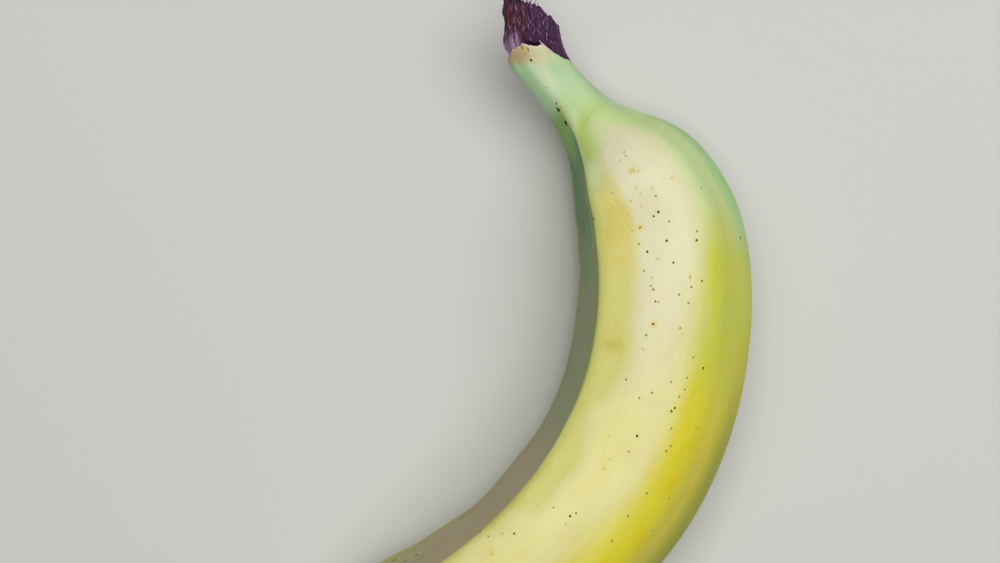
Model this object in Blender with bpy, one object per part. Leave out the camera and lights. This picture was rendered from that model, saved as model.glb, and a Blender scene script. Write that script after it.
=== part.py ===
"""A ripe banana, picked and lying on its side.

The fruit grew as one piece, so it is one object: five-sided body, green stalk
torn from its bunch in a frayed fibrous stub, and a dry black blossom end.

The body is a loft. A middle line bends in the ground plane from the torn
stalk to the blossom end, and at each ring along it a rounded five-sided
section stands upright across the line. X is to the right and Y towards the
stalk when the fruit is seen from above, and Z is up from the ground.
"""

import math

import bmesh
import bpy
import numpy as np
from mathutils import Matrix, Vector

MM = 0.001

# Driving dimensions
LENGTH = 182 * MM  # along the middle line, from the peel's torn rim to the blossom scar
FATTEST = 0.54  # the share of LENGTH where the body is fattest
WIDTH = 37.7 * MM  # the body at its fattest, seen from above
RIM_PLACE = (6.2 * MM, 58.15 * MM)  # the middle of the torn rim, seen from above

# Stations along the middle line. A place is a share of LENGTH, with 0 at the rim.
# Heading is the way the line runs, in degrees from straight down the picture towards the right.
HEADING = [(-0.08, 2), (-0.045, 3), (-0.015, 12), (0.01, 31), (0.03, 38), (0.10, 40), (0.15, 37.7),
           (0.20, 27.5), (0.25, 12.7), (0.30, 2.8), (0.40, -10.5), (0.50, -25), (0.60, -41),
           (0.75, -61), (0.88, -72), (1.02, -78)]
# The width seen from above is a share of WIDTH.
GIRTH = [(-0.08, 0.30), (-0.03, 0.323), (0.00, 0.315), (0.02, 0.297), (0.04, 0.282), (0.065, 0.298),
         (0.09, 0.342), (0.125, 0.487), (0.155, 0.665), (0.18, 0.785), (0.205, 0.85), (0.24, 0.915),
         (0.30, 0.955), (0.42, 0.98), (0.54, 0.995), (0.68, 0.985), (0.78, 0.90), (0.86, 0.72),
         (0.92, 0.487), (0.955, 0.33), (0.98, 0.26), (1.02, 0.25)]
# Millimetres from the ground up to the underside. It is under 0 at the three places it rests on.
UNDERSIDE = [(-0.08, 13), (0.00, 11.4), (0.05, 9.6), (0.10, 6.6), (0.15, 3), (0.18, 1.2),
             (0.215, -0.12), (0.26, 0.1), (0.36, 0.4), (0.48, 0.1), (0.525, -0.12), (0.57, 0.1),
             (0.67, 0.4), (0.77, 0.1), (0.815, -0.12), (0.86, 0.8), (0.91, 2.8), (0.96, 5.2),
             (1.02, 7)]
# Degrees by which the section turns about the line, from the way that it stands at the stalk.
TWIST = [(-0.08, -18), (0.03, -18), (0.06, -15), (0.09, -9), (0.12, -4), (0.16, -1), (0.22, 0.5),
         (0.38, 1), (0.55, 1), (0.68, -3), (0.80, -8), (1.02, -10)]

# The five-sided section. Angles turn from the outer side of the bend (0) upwards (90).
UPPER_INNER_RIDGE = 134
FACETS = 5
FACET_TURN = 360 / FACETS
FACET_DEPTH = 0.90  # from the middle to a facet, with the ridges' own distance at 1
INNER_FACET_DEPTH = 0.84  # the facet inside the bend is flatter than the rest
# Along the fruit, how crisp its ridges are: a small number rounds them, a large one leaves an edge.
SHARPNESS = [(-0.08, 3.4), (0.05, 3.8), (0.10, 5.5), (0.16, 8), (0.22, 9), (0.50, 9), (0.85, 8.5),
             (0.97, 6), (1.02, 5)]
# The two ridges inside the bend are this much crisper, as a share.
INNER_RIDGE_SHARPNESS = [(-0.08, 0), (0.04, 0.1), (0.12, 1.0), (0.20, 1.1), (1.02, 1.1)]

# The loft's mesh
POINTS_PER_FACET = 10
BODY_RINGS = 62

# The torn stub that stands out of the peel's rim
STUB_LENGTH = 8.9 * MM
STUB_SLANT = 4.2 * MM  # the tear runs this much further out inside the bend
STUB_LONG_SIDE = 170  # degrees round the section
PEEL_STEP = 0.4 * MM  # how far the torn peel stands proud of the stub, away from its deepest tear
DEEP_TEAR = 18  # degrees round the section
# Degrees round the section, and millimetres that the torn rim lies down the fruit from its place 0
RIM = [(0, 5.4), (30, 5.9), (50, 5.3), (66, 3.8), (78, 1.6), (87, -0.2), (97, -1.6), (110, -1.1),
       (128, -1.6), (150, -1.3), (195, -1.0), (235, 0.6), (280, 2.6), (325, 4.6), (360, 5.4)]
# The stub bulges and narrows inside the bend: millimetres past the rim, their spread, and their depth.
STUB_INSIDE = 213  # degrees round the section
STUB_SWELLS = [(3.6, 1.3, 0.35), (6.8, 1.8, -0.6)]
FURROWS = [(5, 0.035, 0.4), (8, 0.045, 1.9), (11, 0.03, 4.1)]  # waves round, depth share, phase

# Torn strands round the end of the stub
STRANDS = 30
STRAND_THICKNESS = 1.0 * MM
STRAND_LENGTH = (3.4 * MM, 7.4 * MM)
STRAND_SUNK = 2.6 * MM
STRAND_SEED = 7

# The dry blossom end
NUB_LOBES = 6
NUB_LOBE_DEPTH = 0.08
NUB_LENGTH = 2.6 * MM
# Down the dry nub: its width and how far along it, as shares. It narrows behind a small flare.
NUB_PROFILE = [(0.94, 0.08), (0.84, 0.3), (0.86, 0.55), (0.9, 0.8), (0.76, 1.0), (0.5, 1.0), (0.24, 0.82)]

PEEL_COLOUR = (0.74, 0.66, 0.13, 1)
PEEL_ROUGHNESS = 0.45


def along_stations(stations, place):
    """The value at each place, on a smooth curve through the stations."""
    at, value = np.transpose(np.array(stations, float))
    slope = np.gradient(value, at)
    place = np.clip(place, at[0], at[-1])
    i = np.clip(np.searchsorted(at, place, side="right") - 1, 0, len(at) - 2)
    gap = at[i + 1] - at[i]
    t = (place - at[i]) / gap
    before, after = value[i], value[i + 1]
    return (
        before * (1 + 2 * t) * (1 - t) ** 2
        + after * t**2 * (3 - 2 * t)
        + slope[i] * gap * t * (1 - t) ** 2
        - slope[i + 1] * gap * t**2 * (1 - t)
    )


class MiddleLine:
    """The bent line down the middle of the fruit. Distances start at the rim and are negative in the stub."""

    STEP = 0.1 * MM

    def __init__(self):
        self.distance = np.arange(-18 * MM, LENGTH + 6 * MM, self.STEP)
        heading = np.radians(along_stations(HEADING, self.distance / LENGTH))
        x = np.cumsum(np.sin(heading)) * self.STEP
        y = np.cumsum(-np.cos(heading)) * self.STEP
        self.x = x - np.interp(0, self.distance, x) + RIM_PLACE[0]
        self.y = y - np.interp(0, self.distance, y) + RIM_PLACE[1]
        place = self.distance / LENGTH
        below = ridge_distance(place) * section_reach(270, place)
        self.z = along_stations(UNDERSIDE, place) * MM + below
        self.heading = heading

    def frame_at(self, distance):
        """The point on the line, and the level direction towards the outer side of the bend."""
        x, y, z, heading = (
            np.interp(distance, self.distance, values)
            for values in (self.x, self.y, self.z, self.heading)
        )
        point = np.stack([x, y, z], axis=-1)
        outward = np.stack([np.cos(heading), np.sin(heading), 0 * heading], axis=-1)
        return point, outward

    def skin_point(self, angle, distance, radius):
        """The places at these angles of the section, this far out from the line."""
        point, outward = self.frame_at(distance)
        turn = np.radians(angle + along_stations(TWIST, distance / LENGTH))
        across = np.cos(turn)[:, None] * outward
        across[:, 2] = np.sin(turn)
        return point + radius[:, None] * across


def facet_normals():
    """(direction in degrees, distance) of each facet, from the one inside the bend."""
    first = UPPER_INNER_RIDGE + FACET_TURN / 2
    return [
        (first + k * FACET_TURN, INNER_FACET_DEPTH if k == 0 else FACET_DEPTH)
        for k in range(FACETS)
    ]


def section_shape(angle, place):
    """Distance from the middle to the skin, as a share of the ridges' own, for angles in degrees."""
    inside = bump(angle, UPPER_INNER_RIDGE, 24) + bump(angle, UPPER_INNER_RIDGE + FACET_TURN, 24)
    crisper = along_stations(INNER_RIDGE_SHARPNESS, place) * inside
    sharpness = along_stations(SHARPNESS, place) * (1 + crisper)
    total = 0
    for direction, depth in facet_normals():
        towards = np.maximum(np.cos(np.radians(angle - direction)), 0)
        total = total + (towards / depth) ** sharpness
    return total ** (-1 / sharpness)


def section_reach(direction, place):
    """How far a section with its ridges at 1 reaches from its middle, towards a direction in degrees."""
    place = np.asarray(place)
    angle = np.arange(0.0, 360, 2)[:, None]
    towards = np.cos(np.radians(angle + along_stations(TWIST, place) - direction))
    return (section_shape(angle, place) * towards).max(axis=0)


def ridge_distance(place):
    """From the middle to a ridge, so that the section is as wide as its girth says."""
    return along_stations(GIRTH, place) * WIDTH / (section_reach(0, place) + section_reach(180, place))


def ring_angles():
    """Angles round a section, closer together at the ridges, where the surface turns fastest."""
    share = np.arange(POINTS_PER_FACET) / POINTS_PER_FACET
    eased = share - 0.55 * np.sin(2 * np.pi * share) / (2 * np.pi)
    starts = UPPER_INNER_RIDGE + FACET_TURN * np.arange(FACETS)
    return (starts[:, None] + FACET_TURN * eased[None, :]).ravel()


def bump(angle, side, spread):
    """1 at one side of the section, falling smoothly to 0 further round than the spread."""
    away = (angle - side + 180) % 360 - 180
    return np.exp(-((away / spread) ** 2))


def wavy(angle, waves):
    """A sum of waves round the section."""
    return sum(depth * np.cos(count * np.radians(angle) + phase) for count, depth, phase in waves)


def skin_radius(angle, distance):
    place = distance / LENGTH
    return ridge_distance(place) * section_shape(angle, place)


def rim_line(angle):
    """How far along the middle line the torn rim lies, all round."""
    return along_stations(RIM, angle % 360) * MM + wavy(angle, [(7, 0.25 * MM, 2.6), (12, 0.2 * MM, 0.3)])


def stub_end(angle):
    """How far the stub reaches past the rim, all round."""
    slant = STUB_SLANT * np.cos(np.radians(angle - STUB_LONG_SIDE))
    ragged = wavy(angle, [(4, 0.4 * MM, 0.7), (9, 0.3 * MM, 3.9)])
    return -(STUB_LENGTH + slant + ragged)


def stub_radius(angle, distance):
    """The stub's surface without its furrows: under the peel, but level with it at its deepest tear."""
    swell = sum(
        depth * MM * np.exp(-(((-distance / MM - past) / spread) ** 2))
        for past, spread, depth in STUB_SWELLS
    )
    step = PEEL_STEP * (1 - 0.8 * bump(angle, DEEP_TEAR, 50))
    return skin_radius(angle, distance) - step + swell * bump(angle, STUB_INSIDE, 50)


def stub_rings(angle):
    """Rings from the middle of the torn end, out to its edge and down the stub to the rim."""
    end, rim = stub_end(angle), rim_line(angle)
    furrowed = 1 + wavy(angle, FURROWS)
    edge_radius = stub_radius(angle, end)
    middle = end.mean()
    for share, sag in ((0.35, 0.9 * MM), (0.7, -0.5 * MM), (0.92, 0.3 * MM)):
        tear = middle + (end - middle) * share + sag * (1 - share)
        yield tear + 0.5 * MM * wavy(3 * angle, FURROWS) / 0.045, edge_radius * share * furrowed
    for share in (0, 0.1, 0.22, 0.34, 0.46, 0.58, 0.7, 0.86, 1):
        distance = end + (rim - end) * share
        yield distance, stub_radius(angle, distance) * (1 + (furrowed - 1) * (1 - 0.6 * share))


def body_rings(angle):
    """Rings of skin, from the rim to the blossom end."""
    rim = rim_line(angle)
    reach = 14 * MM
    starts = [0.05 * MM, 0.6 * MM]
    evenly = np.linspace(0, 1, BODY_RINGS)
    spaced = evenly - 0.045 * np.sin(2 * np.pi * evenly)
    for start in [*starts, *(1.6 * MM + (LENGTH - 1.6 * MM) * spaced)]:
        pulled = np.clip(1 - start / reach, 0, 1) ** 2
        distance = start + rim * pulled
        thin_edge = 0.35 * MM * np.clip(1 - start / (0.6 * MM), 0, 1)
        yield distance, skin_radius(angle, distance) - thin_edge


def scar_rings(angle):
    """Rings over the dry blossom nub, to near its middle."""
    lobes = NUB_LOBE_DEPTH * np.cos(NUB_LOBES * np.radians(angle))
    end_radius = skin_radius(angle, LENGTH * np.ones_like(angle))
    for share, rise in NUB_PROFILE:
        yield LENGTH + NUB_LENGTH * rise + 0 * angle, end_radius * share * (1 + lobes * rise)


def loft(rings, line, angle):
    """One closed mesh through the rings, with a point in the middle of each end."""
    mesh = bmesh.new()
    rows = []
    for distance, radius in rings:
        skin = line.skin_point(angle, distance, radius)
        skin[:, 2] = np.maximum(skin[:, 2], 0)  # flattened a little where it rests
        rows.append([mesh.verts.new(p) for p in skin])
    count = len(angle)
    for row, after in zip(rows, rows[1:]):
        for i in range(count):
            j = (i + 1) % count
            mesh.faces.new((row[i], row[j], after[j], after[i]))
    for row, turned in ((rows[0], True), (rows[-1], False)):
        middle = mesh.verts.new(sum((v.co for v in row), Vector()) / count)
        for i in range(count):
            j = (i + 1) % count
            face = (row[j], row[i], middle) if turned else (row[i], row[j], middle)
            mesh.faces.new(face)
    bmesh.ops.recalc_face_normals(mesh, faces=mesh.faces)
    return mesh


def object_of(mesh, name, collection):
    data = bpy.data.meshes.new(name)
    mesh.to_mesh(data)
    mesh.free()
    made = bpy.data.objects.new(name, data)
    collection.objects.link(made)
    return made


def make_strands(line, collection):
    """Torn strands standing out of the stub's edge and face, sunk well into it."""
    draw = np.random.default_rng(STRAND_SEED)
    for k in range(STRANDS):
        angle = np.array([360 * k / STRANDS + draw.uniform(-6, 6)])
        inward = draw.uniform(0.55, 0.86)
        end = stub_end(angle)
        end = end.mean() * (1 - inward) + end * inward - (1 - inward) * 1.0 * MM
        longer = 0.5 + 0.5 * bump(angle, STUB_LONG_SIDE, 80)[0]
        length = STRAND_SUNK + longer * (draw.uniform(*STRAND_LENGTH) - STRAND_SUNK)
        radius = stub_radius(angle, end) * inward
        point, outward = line.frame_at(end)
        turn = math.radians(angle[0] + along_stations(TWIST, end / LENGTH)[0])
        across = Vector(outward[0]) * math.cos(turn) + Vector((0, 0, math.sin(turn)))
        root = Vector(point[0]) + across * radius[0]
        ahead, _ = line.frame_at(end - 1 * MM)
        way = (Vector(ahead[0]) - Vector(point[0])).normalized()
        way = (way + across * draw.uniform(-0.05, 0.22)).normalized()
        strand = bmesh.new()
        bmesh.ops.create_cone(
            strand,
            cap_ends=True,
            segments=5,
            radius1=STRAND_THICKNESS * 0.62,
            radius2=STRAND_THICKNESS * 0.34,
            depth=length,
        )
        middle = root + way * (length / 2 - STRAND_SUNK)
        turn_to = Vector((0, 0, 1)).rotation_difference(way).to_matrix().to_4x4()
        strand.transform(Matrix.Translation(middle) @ turn_to)
        object_of(strand, f"strand_{k:02d}", collection)


def fuse(base, collection):
    """Joins a collection's solids to the base, then removes them."""
    union = base.modifiers.new("strands", "BOOLEAN")
    union.operation = "UNION"
    union.operand_type = "COLLECTION"
    union.collection = collection
    union.solver = "EXACT"
    bpy.context.view_layer.update()
    evaluated = base.evaluated_get(bpy.context.evaluated_depsgraph_get())
    joined = bpy.data.meshes.new_from_object(evaluated)
    base.modifiers.clear()
    base.data = joined
    for solid in list(collection.objects):
        bpy.data.objects.remove(solid)
    bpy.data.collections.remove(collection)


def peel_material():
    material = bpy.data.materials.new("banana_peel")
    material.use_nodes = True
    shader = material.node_tree.nodes["Principled BSDF"]
    shader.inputs["Base Color"].default_value = PEEL_COLOUR
    shader.inputs["Roughness"].default_value = PEEL_ROUGHNESS
    shader.inputs["Metallic"].default_value = 0
    return material


def make_banana():
    collection = bpy.data.collections.new("banana")
    bpy.context.scene.collection.children.link(collection)
    torn = bpy.data.collections.new("torn_strands")
    bpy.context.scene.collection.children.link(torn)
    line = MiddleLine()
    angle = ring_angles()
    rings = [*stub_rings(angle), *body_rings(angle), *scar_rings(angle)]
    banana = object_of(loft(rings, line, angle), "banana", collection)
    make_strands(line, torn)
    fuse(banana, torn)
    banana.data.materials.clear()
    banana.data.materials.append(peel_material())
    banana.data.shade_smooth()
    banana.data.set_sharp_from_angle(angle=math.radians(50))


for leftover in list(bpy.data.objects):
    bpy.data.objects.remove(leftover)
make_banana()
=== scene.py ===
"""A ripe banana lying on its side: waxy freckled peel, torn fibrous stalk and dry blossom end."""

import math

import bpy
import numpy as np
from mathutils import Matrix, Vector


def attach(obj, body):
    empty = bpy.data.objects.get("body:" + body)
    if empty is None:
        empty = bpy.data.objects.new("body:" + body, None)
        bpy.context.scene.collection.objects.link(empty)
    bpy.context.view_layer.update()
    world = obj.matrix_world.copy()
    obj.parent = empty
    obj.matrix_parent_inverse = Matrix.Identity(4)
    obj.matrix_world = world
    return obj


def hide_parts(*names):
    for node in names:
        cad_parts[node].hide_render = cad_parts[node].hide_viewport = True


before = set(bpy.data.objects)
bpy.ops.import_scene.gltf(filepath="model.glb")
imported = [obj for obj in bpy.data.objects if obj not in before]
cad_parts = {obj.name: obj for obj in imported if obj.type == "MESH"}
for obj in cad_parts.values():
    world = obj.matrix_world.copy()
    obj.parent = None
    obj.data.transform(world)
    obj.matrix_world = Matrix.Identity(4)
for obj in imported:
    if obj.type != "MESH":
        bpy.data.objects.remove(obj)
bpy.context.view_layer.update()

bl_info = {
    "name": "Banana",
    "version": (1, 0, 0),
    "blender": (4, 5, 0),
    "location": "3D View > Sidebar > Banana",
    "description": "Builds a ripe banana's peel, torn stalk and blossom end, and the stage that it lies on",
    "category": "Object",
}

MM = 0.001
NODE = "banana"
BODY = "root"

# The fruit's form, as its solid has it. A place is a share of LENGTH, with 0 at the torn rim.
LENGTH = 182 * MM  # along the middle line, from the peel's torn rim to the blossom scar
WIDTH = 37.7 * MM  # the body at its fattest, seen from above
RIM_PLACE = (6.2 * MM, 58.15 * MM)  # the middle of the torn rim, seen from above
# Heading is the way the line runs, in degrees from straight down the view towards the right.
HEADING = [(-0.08, 2), (-0.045, 3), (-0.015, 12), (0.01, 31), (0.03, 38), (0.10, 40), (0.15, 37.7),
           (0.20, 27.5), (0.25, 12.7), (0.30, 2.8), (0.40, -10.5), (0.50, -25), (0.60, -41),
           (0.75, -61), (0.88, -72), (1.02, -78)]
# The width seen from above is a share of WIDTH.
GIRTH = [(-0.08, 0.30), (-0.03, 0.323), (0.00, 0.315), (0.02, 0.297), (0.04, 0.282), (0.065, 0.298),
         (0.09, 0.342), (0.125, 0.487), (0.155, 0.665), (0.18, 0.785), (0.205, 0.85), (0.24, 0.915),
         (0.30, 0.955), (0.42, 0.98), (0.54, 0.995), (0.68, 0.985), (0.78, 0.90), (0.86, 0.72),
         (0.92, 0.487), (0.955, 0.33), (0.98, 0.26), (1.02, 0.25)]
# Millimetres from the ground up to the underside. It is under 0 at the three places it rests on.
UNDERSIDE = [(-0.08, 13), (0.00, 11.4), (0.05, 9.6), (0.10, 6.6), (0.15, 3), (0.18, 1.2),
             (0.215, -0.12), (0.26, 0.1), (0.36, 0.4), (0.48, 0.1), (0.525, -0.12), (0.57, 0.1),
             (0.67, 0.4), (0.77, 0.1), (0.815, -0.12), (0.86, 0.8), (0.91, 2.8), (0.96, 5.2),
             (1.02, 7)]
# Degrees by which the section turns about the line.
TWIST = [(-0.08, -18), (0.03, -18), (0.06, -15), (0.09, -9), (0.12, -4), (0.16, -1), (0.22, 0.5),
         (0.38, 1), (0.55, 1), (0.68, -3), (0.80, -8), (1.02, -10)]

# The five-sided section. Angles turn from the outer side of the bend (0) upwards (90).
UPPER_INNER_RIDGE = 134
FACETS = 5
FACET_TURN = 360 / FACETS
FACET_DEPTH = 0.90  # a facet's distance from the middle, where a crisp ridge's is about 1
INNER_FACET_DEPTH = 0.84
SHARPNESS = [(-0.08, 3.4), (0.05, 3.8), (0.10, 5.5), (0.16, 8), (0.22, 9), (0.50, 9), (0.85, 8.5),
             (0.97, 6), (1.02, 5)]
INNER_RIDGE_SHARPNESS = [(-0.08, 0), (0.04, 0.1), (0.12, 1.0), (0.20, 1.1), (1.02, 1.1)]
INNER_FACET = UPPER_INNER_RIDGE + FACET_TURN / 2
OUTER_RIDGE = UPPER_INNER_RIDGE - FACET_TURN
# How much rounder the upper ridge of the outer side is than the others
OUTER_RIDGE_SOFTNESS = [(-0.08, 0), (0.05, 0), (0.08, 0.05), (0.12, 0.38), (0.16, 0.5), (0.22, 0.5),
                        (0.4, 0.45), (0.5, 0.4), (1.02, 0.4)]
PLACES = np.linspace(-0.1, 1.04, 1200)

# The torn rim and the stub that stands out of it. A side is an angle of the section.
STUB_LENGTH = 8.9 * MM
STUB_SLANT = 4.2 * MM  # how much further the stub reaches on its long side
STUB_LONG_SIDE = 170
STUB_RADIUS = 5.6 * MM  # near enough for the grain of its fibres
PEEL_STEP = 0.4 * MM  # how far the stub's surface lies under the peel's
DEEP_TEAR = 18  # the side where the stub is nearly level with the peel
# The rim at each side, in millimetres down the middle line
RIM = [(0, 5.4), (30, 5.9), (50, 5.3), (66, 3.8), (78, 1.6), (87, -0.3), (94, -1.0), (102, -0.7),
       (113, -1.3), (124, -2.1), (145, -2.1), (166, -1.4), (195, -1.0), (235, 0.6), (280, 2.6),
       (325, 4.6), (360, 5.4)]
STUB_INSIDE = 213
# A swell and a hollow inside the bend: their middle, spread and height, in millimetres along the stub
STUB_SWELLS = [(3.6, 1.3, 0.35), (6.8, 1.8, -0.6)]
CRACK_SIDE = 110  # where the peel has come away from the stub
CRACK_DEPTH = 1.1 * MM
SLIVER_SIDES = (30, 12)  # a sliver of peel runs up the stub's outer side between these
TONGUE_SIDES = (84, 97)  # a torn tongue of pale peel lies over the rim between these

# The peel's edges, turned in at the torn rim and at the scar: millimetres along and out from the skin
RIM_LIP = [(2.2, -0.95), (0.8, -0.8), (0.2, -0.6), (0.0, -0.38), (0.02, -0.18), (0.14, -0.04), (0.4, 0.0)]
RIM_LIP_END = 0.75
END_LIP = [(0.12, -0.08), (0.16, -0.35), (0.0, -0.7), (-0.6, -0.9)]
RIM_PULL = 14 * MM  # the peel's rings follow the torn rim's shape up to this far from it
RIDGE_GATHERING = 0.4  # how strongly the peel's points gather at the ridges, from 0 to 1
END_GATHERING = 0.06  # and how strongly its rings gather at both ends

# The dry blossom end: shares of NUB_LENGTH past the scar, and of the peel's radius there
NUB_LENGTH = 2.6 * MM
NUB_FOOT = [(-0.5, 0.78), (-0.25, 0.8)]
NUB_SIDE = [(0.08, 0.94), (0.3, 0.84), (0.55, 0.86), (0.8, 0.9), (1.0, 0.76)]
NUB_FACE = [(1.03, 0.66), (0.98, 0.56), (0.88, 0.46), (0.84, 0.36), (0.9, 0.26), (0.98, 0.16), (0.96, 0.06)]

# The camera looks straight down. Its picture is this many pixels, and a pixel is this wide on the
# level of the fruit's middle.
PICTURE = (1000, 563)
PIXEL = 0.211 * MM
MIDDLE_LEVEL = 18 * MM
CAMERA_RISE = 550 * MM  # above the fruit's middle
CAMERA_OVER = (-1.4 * MM, 10.05 * MM)
SENSOR = 36  # the width of the camera's film, in millimetres

# The lights: their places and widths in metres, and their colours
KEY_PLACE = (0.22, 0.26, 1.30)
KEY_WIDTH = 1.5
KEY_COLOUR = (1, 0.985, 0.95)
FILL_PLACE = (1.0, 0.2, 0.8)
FILL_WIDTH = 0.8
FILL_COLOUR = (1, 0.98, 0.95)
SKY_COLOUR = (0.95, 0.97, 1, 1)

WAX_SHEEN = 0.3  # the reflection of the peel and the fibres, where 0.5 is a plain varnish's

# The pale bloom along the top, partly painted highlight, reaches between these sides, by millimetres from the
# torn rim.
BLOOM_AND_HIGHLIGHT_OUTER = [(20, 65), (32, 54), (45, 58), (52, 66), (60, 72), (80, 78), (90, 82), (100, 87), (112, 90),
               (182, 90)]
BLOOM_AND_HIGHLIGHT_INNER = [(20, 112), (25, 119), (31, 119), (38, 115), (45, 110), (60, 110), (70, 108), (80, 112),
               (90, 118), (100, 109), (112, 107), (122, 119), (182, 121)]

# Freckles and marks that stand out, by their pixel in the picture
BLACK_FRECKLES = [(531, 61), (658, 212), (666.5, 240.5), (673.7, 262.5), (547.5, 440), (480, 531.5)]
DARK_FRECKLES = [(653.5, 216.5), (640, 228), (647.3, 251.3), (697, 241), (702, 282), (653.3, 324),
                 (703.5, 367), (653, 289.5), (655.3, 301), (637.5, 436.5), (570, 516), (514, 533.5),
                 (740, 237), (674.5, 409), (671.7, 411), (556.5, 103.5)]
BROWN_FRECKLES = [(656, 196.5), (669, 221.5), (644.5, 270.5), (691.8, 287), (679, 295), (658.3, 301.7),
                  (646, 335.5), (693.3, 356.7), (688, 303), (680, 328.5), (701, 187), (639, 244),
                  (697, 231), (651, 286), (626, 380), (671, 382), (651.3, 393), (639, 398.5),
                  (685, 390.7), (679.5, 396.5), (671.3, 428.3), (698.3, 427.3), (671, 445.5), (666, 451),
                  (629.3, 452), (553.5, 508), (576, 513), (647, 493.5), (669.5, 498), (612, 541),
                  (488.5, 536.5), (687, 377), (628, 516), (652, 532), (586, 366), (560.5, 108)]
FAINT_FRECKLES = [(633, 170), (638.5, 171), (630, 172), (624, 152), (626, 156), (620, 161), (636.5, 187.5),
                  (652, 188), (640.5, 193.5), (612, 193), (672, 179), (628, 214), (641.5, 206),
                  (656.5, 258.5), (660, 258.5), (652, 278.5), (643, 349), (632, 231), (616, 201),
                  (631, 201.5), (565, 435), (609, 436), (609, 460), (604, 469), (502, 534), (588, 119.5),
                  (546, 87), (566, 524), (492, 555), (581, 211)]
LONG_FRECKLES = [(690, 276.3), (712.3, 174)]
STALK_MARKS = [(557.7, 109.5), (566, 123.5)]
RIDGE_FRECKLES = [(593.6, 218.6)]
STAINS = [(614.5, 346), (609, 345)]
YELLOWED = [(653.3, 324), (674, 410), (633, 170), (640, 228), (491, 553)]
RIM_SPLITS = [(522.5, 47.5), (528, 49.5)]
PALE_SCUFFS = [(592, 283), (512, 491)]
BROWN_SCUFFS = [(415, 556), (405, 561), (394, 560)]
# Each kind of mark: its pixels, its radius in millimetres, its length over its width, and its tone
MARK_KINDS = [(BLACK_FRECKLES, 0.25, 1.05, 1.0), (DARK_FRECKLES, 0.22, 1.15, 0.8),
              (BROWN_FRECKLES, 0.19, 1.2, 0.55), (FAINT_FRECKLES, 0.24, 1.2, 0.28),
              (LONG_FRECKLES, 0.16, 2.8, 0.45), (STALK_MARKS, 0.42, 1.4, 1.0),
              (RIDGE_FRECKLES, 0.32, 1.1, 1.0), (RIM_SPLITS, 0.18, 2.2, 0.5),
              (PALE_SCUFFS, 0.6, 2.2, -1.0), (BROWN_SCUFFS, 0.45, 1.7, 0.5)]
STREWN = (22, 170)  # the other freckles lie between these distances from the rim, in millimetres
PICTURE_MARGIN = 6  # and, if they face up, this many pixels below the picture


def srgb(red, green, blue):
    """A linear colour from 0 to 255 display values."""
    shares = [channel / 255 for channel in (red, green, blue)]
    return tuple(c / 12.92 if c <= 0.04045 else ((c + 0.055) / 1.055) ** 2.4 for c in shares)


def along_stations(stations, place):
    """The value at each place, on a smooth curve through the stations."""
    at, value = np.transpose(np.array(stations, float))
    slope = np.gradient(value, at)
    place = np.clip(place, at[0], at[-1])
    i = np.clip(np.searchsorted(at, place, side="right") - 1, 0, len(at) - 2)
    gap = at[i + 1] - at[i]
    t = (place - at[i]) / gap
    before, after = value[i], value[i + 1]
    return (
        before * (1 + 2 * t) * (1 - t) ** 2
        + after * t**2 * (3 - 2 * t)
        + slope[i] * gap * t * (1 - t) ** 2
        - slope[i + 1] * gap * t**2 * (1 - t)
    )


def away_from(angle, side):
    """Degrees from one side of the section, from -180 to 180."""
    return (angle - side + 180) % 360 - 180


def bump(angle, side, spread):
    """1 at one side of the section, falling smoothly to 0 further round than the spread."""
    return np.exp(-((away_from(angle, side) / spread) ** 2))


def step(value, low, high):
    """0 up to low, 1 from high, and smooth between them. It falls where low is over high."""
    t = np.clip((value - low) / (high - low), 0, 1)
    return t * t * (3 - 2 * t)


def facing(angle, centre, half, soft):
    """1 on the sides that lie up to half from a centre, in degrees, with a soft edge."""
    return 1 - step(np.abs(away_from(angle, centre)), half - soft, half + soft)


def reaching(value, start, end, soft_start, soft_end):
    """1 from a start to an end, and 0 outside them, with a soft edge of its own at each."""
    risen = step(value, start - soft_start, start + soft_start)
    return risen * (1 - step(value, end - soft_end, end + soft_end))


def wavy(angle, waves):
    """A line that waves round the section. Each wave has a count, a depth and a phase."""
    return sum(depth * np.cos(count * np.radians(angle) + phase) for count, depth, phase in waves)


def ripple(points, waves, size, seed):
    """A seeded, smooth unevenness from about -1 to 1, for points and a size in millimetres."""
    draw = np.random.default_rng(seed)
    total = np.zeros(points.shape[:-1])
    for _ in range(waves):
        way = draw.normal(size=3)
        way /= np.linalg.norm(way) * size * draw.uniform(0.7, 1.6)
        total += np.cos(2 * np.pi * (points @ way) + draw.uniform(0, 2 * np.pi))
    return total / math.sqrt(waves)


def section_shape(angle, place):
    """Distance from the middle to the skin, as a share of the ridges' own."""
    inside = bump(angle, UPPER_INNER_RIDGE, 24) + bump(angle, UPPER_INNER_RIDGE + FACET_TURN, 24)
    crisper = along_stations(INNER_RIDGE_SHARPNESS, place) * inside
    softer = along_stations(OUTER_RIDGE_SOFTNESS, place) * bump(angle, OUTER_RIDGE, 26)
    sharpness = along_stations(SHARPNESS, place) * (1 + crisper - softer)
    total = 0
    for k in range(FACETS):
        depth = FACET_DEPTH if k else INNER_FACET_DEPTH
        towards = np.maximum(np.cos(np.radians(angle - INNER_FACET - k * FACET_TURN)), 0)
        total = total + (towards / depth) ** sharpness
    return total ** (-1 / sharpness)


def section_reach(direction, place):
    """How far a section with its ridges at 1 reaches from its middle, towards a direction."""
    angle = np.arange(0.0, 360, 2)[:, None]
    towards = np.cos(np.radians(angle + along_stations(TWIST, place) - direction))
    return (section_shape(angle, place) * towards).max(axis=0)


LEVEL_WIDTHS = section_reach(0, PLACES) + section_reach(180, PLACES)
RIDGES = along_stations(GIRTH, PLACES) * WIDTH / LEVEL_WIDTHS


def skin_radius(angle, distance):
    place = distance / LENGTH
    return np.interp(place, PLACES, RIDGES) * section_shape(angle, place)


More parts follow.
